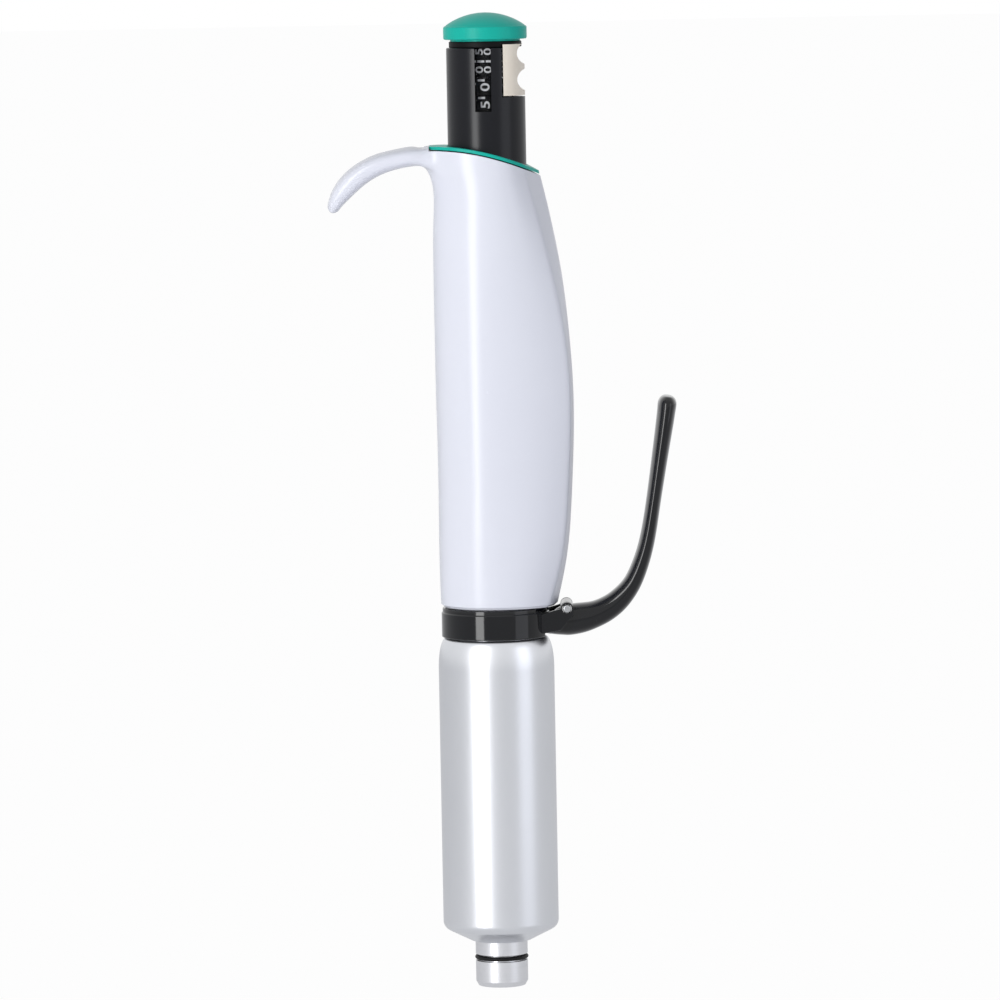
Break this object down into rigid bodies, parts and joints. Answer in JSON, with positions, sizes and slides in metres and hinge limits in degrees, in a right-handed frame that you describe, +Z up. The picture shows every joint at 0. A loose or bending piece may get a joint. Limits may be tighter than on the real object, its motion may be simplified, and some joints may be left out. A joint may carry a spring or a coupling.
{
  "type": "single-channel pipette",
  "caption": "Adjustable air-displacement pipette with finger hook, sliding plunger head with counter and lock, curved ejector lever and sliding ejector sleeve.",
  "frame": {"origin": "centre of the tip cone's end face, on the pipette's axis", "axes": "+Z up along the pipette's axis, from the tip cone to the push button; finger hook towards -X, ejector lever towards +X, counter window facing -Y"},
  "size_m": [0.0798, 0.0274, 0.2241],
  "materials": {
    "handle_white": "glossy moulded",
    "teal_plastic": "satin moulded",
    "black_gloss": "glossy moulded",
    "black_satin": "satin moulded",
    "ivory_plastic": "satin moulded",
    "sleeve_aluminium": "satin anodised",
    "cone_metal": "fine turned",
    "steel": "fine turned",
    "spring_steel": "drawn wire",
    "brass": "fine turned",
    "natural_plastic": "moulded",
    "drum_black": "moulded",
    "black_rubber": "moulded",
    "filter_white": "sintered",
    "window_clear": "polished"
  },
  "bodies": {
    "root": {"handle_shell": "handle_white", "top_cover": "teal_plastic", "guide_bush": "black_satin", "inner_frame": "natural_plastic", "collar_retaining_ring": "black_satin", "coupling_nut": "steel", "cylinder_cap": "natural_plastic", "cylinder_cap_seal": "black_rubber", "cylinder": "natural_plastic", "tip_cone": "cone_metal", "tip_cone_o_ring": "black_rubber", "tip_filter": "filter_white", "blowout_spring": "spring_steel", "ejector_spring": "spring_steel", "stage_stop_ring": "steel"},
    "blowout_stage": {"blowout_plate": "steel", "main_spring": "spring_steel"},
    "plunger": {"counter_housing": "black_satin", "window_lens": "window_clear", "drum_carrier": "black_satin", "spring_seat": "natural_plastic", "plunger_rod": "steel", "piston": "natural_plastic", "piston_seal": "black_rubber", "piston_screw": "steel"},
    "knob": {"push_button": "teal_plastic", "volume_spindle": "steel", "fine_drum": "drum_black"},
    "tenths_wheel": {"tenths_drum": "drum_black"},
    "ones_wheel": {"ones_drum": "drum_black"},
    "travelling_stop": {"stop_nut": "brass"},
    "lock": {"volume_lock": "ivory_plastic"},
    "collar": {"swivel_collar": "black_gloss", "pivot_pin": "steel"},
    "lever": {"ejector_lever": "black_gloss"},
    "sleeve": {"ejector_sleeve": "sleeve_aluminium"}
  },
  "joints": [
    {"name": "blowout_slide", "type": "slide", "parent": "root", "child": "blowout_stage", "axis": [0, 0, -1], "range_m": [0, 0.0024], "stiffness_N_per_m": 4000, "springref_m": -0.0022, "deforming": ["blowout_spring"]},
    {"name": "plunger_slide", "type": "slide", "parent": "blowout_stage", "child": "plunger", "axis": [0, 0, -1], "range_m": [0, 0.0147], "stiffness_N_per_m": 300, "springref_m": -0.008, "deforming": ["main_spring"]},
    {"name": "knob_turn", "type": "hinge", "parent": "plunger", "child": "knob", "pos_m": [0, 0, 0.2178], "axis": [0, 0, 1], "range_deg": [-14400, 0]},
    {"name": "tenths_turn", "type": "hinge", "parent": "plunger", "child": "tenths_wheel", "pos_m": [0, 0, 0.2071], "axis": [0, 0, 1], "range_deg": [-1440, 0]},
    {"name": "ones_turn", "type": "hinge", "parent": "plunger", "child": "ones_wheel", "pos_m": [0, 0, 0.2031], "axis": [0, 0, 1], "range_deg": [-144, 0]},
    {"name": "stop_nut_slide", "type": "slide", "parent": "plunger", "child": "travelling_stop", "axis": [0, 0, 1], "range_m": [-0.01177, 0]},
    {"name": "lock_slide", "type": "slide", "parent": "plunger", "child": "lock", "axis": [0, 0, 1], "range_m": [0, 0.0007]},
    {"name": "collar_swivel", "type": "hinge", "parent": "root", "child": "collar", "pos_m": [0, 0, 0.0844], "axis": [0, 0, 1], "range_deg": [-90, 90]},
    {"name": "lever_squeeze", "type": "hinge", "parent": "collar", "child": "lever", "pos_m": [0.0164, 0, 0.0875], "axis": [0, -1, 0], "range_deg": [0, 15]},
    {"name": "sleeve_slide", "type": "slide", "parent": "root", "child": "sleeve", "axis": [0, 0, -1], "range_m": [0, 0.00435], "stiffness_N_per_m": 600, "springref_m": -0.004, "deforming": ["ejector_spring"]}
  ],
  "couplings": [
    {"joint": "knob_turn", "follows": "stop_nut_slide", "rad_per_m": 21349},
    {"joint": "tenths_turn", "follows": "stop_nut_slide", "rad_per_m": 2134.9},
    {"joint": "ones_turn", "follows": "stop_nut_slide", "rad_per_m": 213.49},
    {"joint": "lever_squeeze", "follows": "sleeve_slide", "rad_per_m": 60.06}
  ]
}
